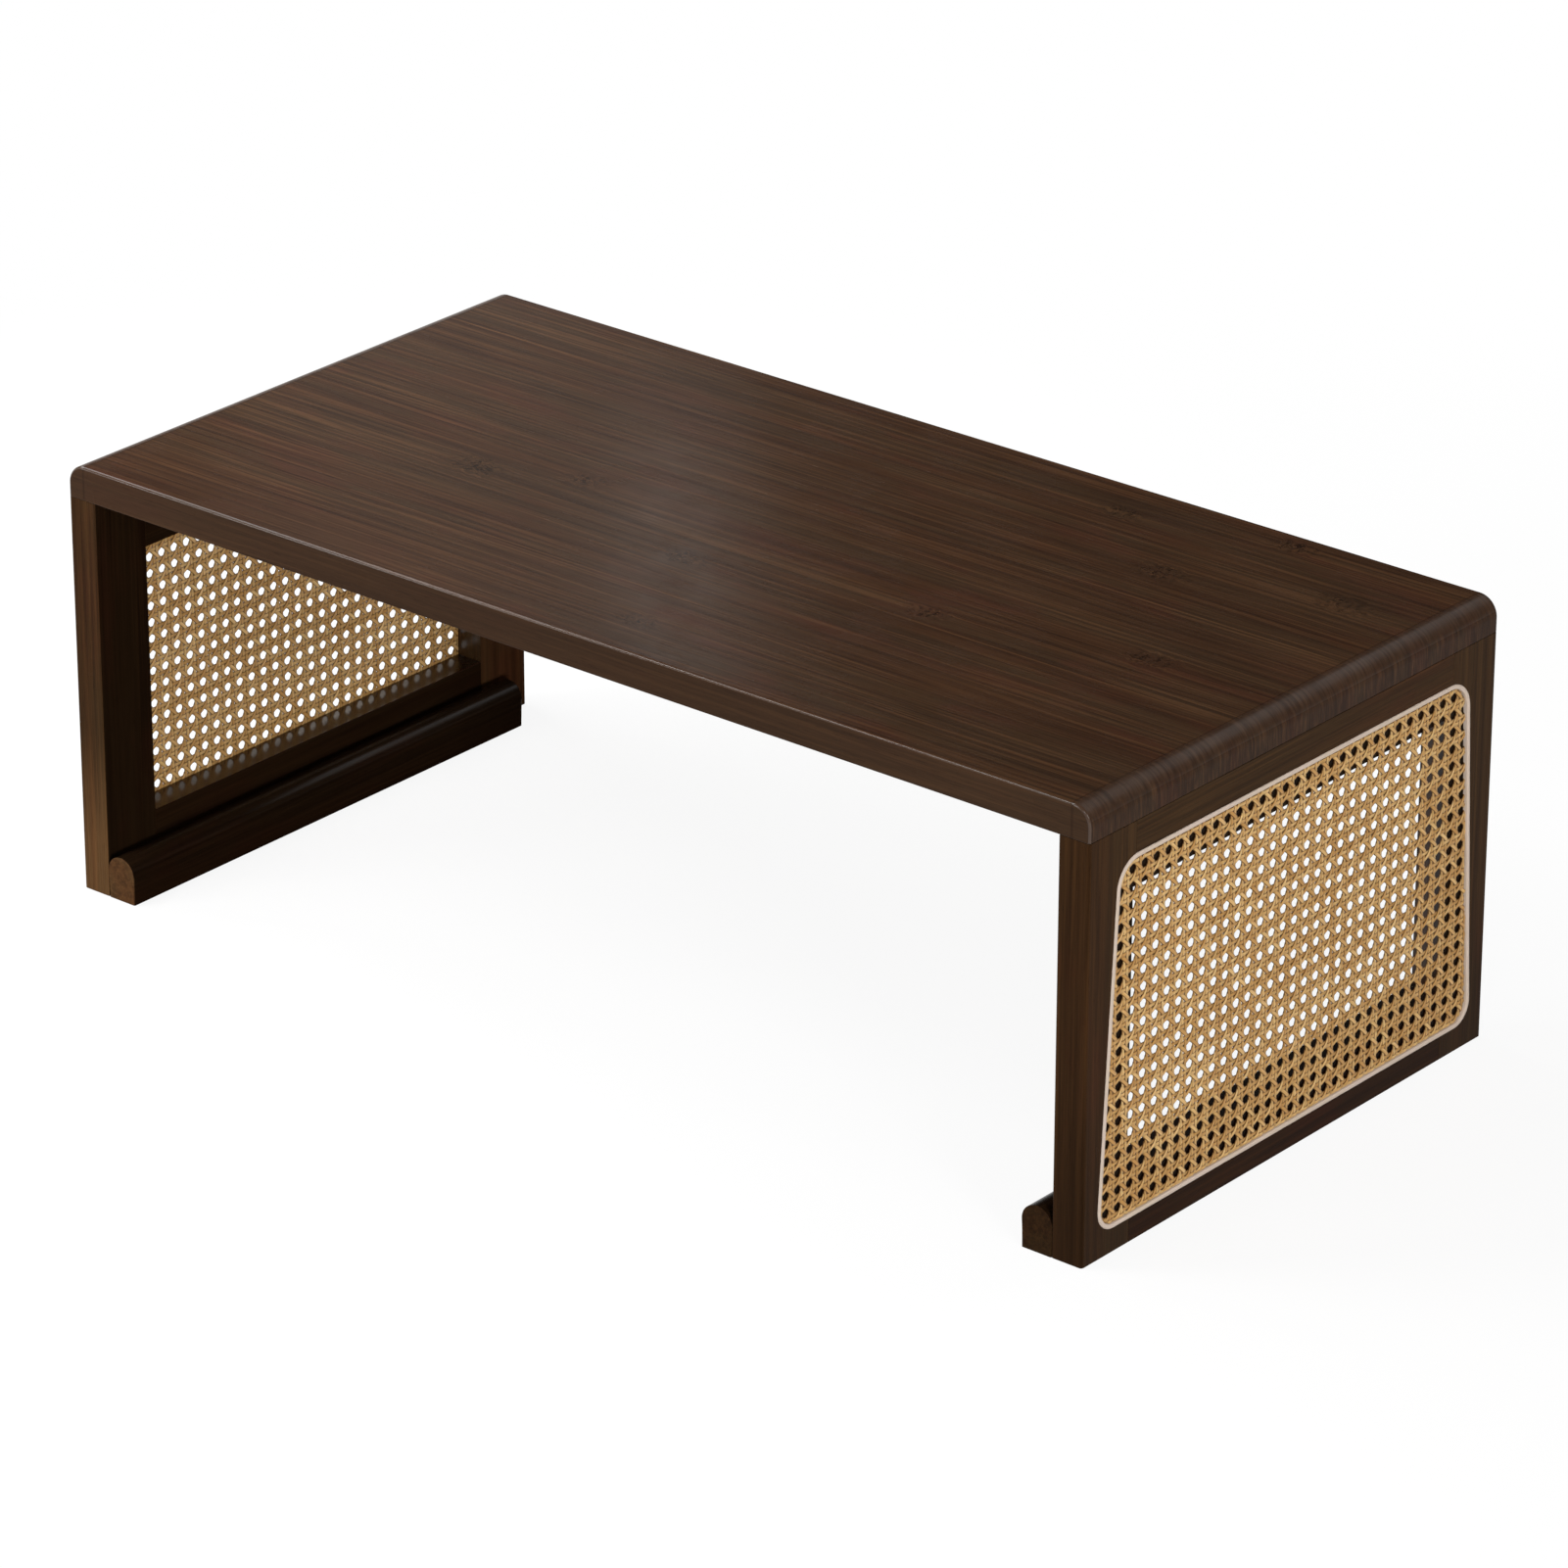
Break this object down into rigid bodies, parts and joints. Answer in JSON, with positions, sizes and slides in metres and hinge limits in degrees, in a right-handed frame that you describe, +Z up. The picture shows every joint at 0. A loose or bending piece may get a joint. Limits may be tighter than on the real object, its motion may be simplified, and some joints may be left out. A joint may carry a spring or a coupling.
{
  "type": "folding floor table",
  "caption": "Low rectangular wooden table with a rounded-end top on panel legs of cane webbing in wooden frames, hinged to fold flat under the top.",
  "frame": {"origin": "on the floor, under the middle of the top, with the table standing open", "axes": "+X along the table, +Y from its front to its back, +Z up"},
  "size_m": [0.8016, 0.395, 0.29],
  "materials": {
    "top_walnut": "satin lacquer over dark walnut, grain along the table",
    "leg_walnut": "satin lacquer over dark walnut",
    "rail_walnut": "satin lacquer over dark walnut",
    "dowel_beech": "bare beech",
    "cane": "woven rattan cane with a natural gloss",
    "reed": "pale reed",
    "hinge_steel": "bronzed steel",
    "screw_steel": "zinc plated",
    "magnet_nickel": "nickel plated"
  },
  "bodies": {
    "table": {"tabletop": "top_walnut", "left_hinge_rail": "rail_walnut", "right_hinge_rail": "rail_walnut", "rail_screws": "screw_steel", "top_magnets": "magnet_nickel", "left_front_rail_leaf": "hinge_steel", "left_back_rail_leaf": "hinge_steel", "right_front_rail_leaf": "hinge_steel", "right_back_rail_leaf": "hinge_steel", "left_front_hinge_pin": "screw_steel", "left_back_hinge_pin": "screw_steel", "right_front_hinge_pin": "screw_steel", "right_back_hinge_pin": "screw_steel", "rail_leaf_screws": "screw_steel"},
    "left_leg": {"left_front_stile": "leg_walnut", "left_back_stile": "leg_walnut", "left_top_rail": "leg_walnut", "left_bottom_rail": "leg_walnut", "left_foot_bar": "leg_walnut", "left_cane_webbing": "cane", "left_cane_spline": "reed", "left_frame_dowels": "dowel_beech", "left_foot_dowels": "dowel_beech", "left_leg_magnets": "magnet_nickel", "left_front_leg_leaf": "hinge_steel", "left_back_leg_leaf": "hinge_steel", "left_leg_leaf_screws": "screw_steel"},
    "right_leg": {"right_front_stile": "leg_walnut", "right_back_stile": "leg_walnut", "right_top_rail": "leg_walnut", "right_bottom_rail": "leg_walnut", "right_foot_bar": "leg_walnut", "right_cane_webbing": "cane", "right_cane_spline": "reed", "right_frame_dowels": "dowel_beech", "right_foot_dowels": "dowel_beech", "right_leg_magnets": "magnet_nickel", "right_front_leg_leaf": "hinge_steel", "right_back_leg_leaf": "hinge_steel", "right_leg_leaf_screws": "screw_steel"}
  },
  "joints": [
    {"name": "left_leg_fold", "type": "hinge", "parent": "table", "child": "left_leg", "pos_m": [-0.3777, 0, 0.2457], "axis": [0, -1, 0], "range_deg": [0, 90]},
    {"name": "right_leg_fold", "type": "hinge", "parent": "table", "child": "right_leg", "pos_m": [0.3777, 0, 0.2457], "axis": [0, 1, 0], "range_deg": [0, 90]}
  ]
}
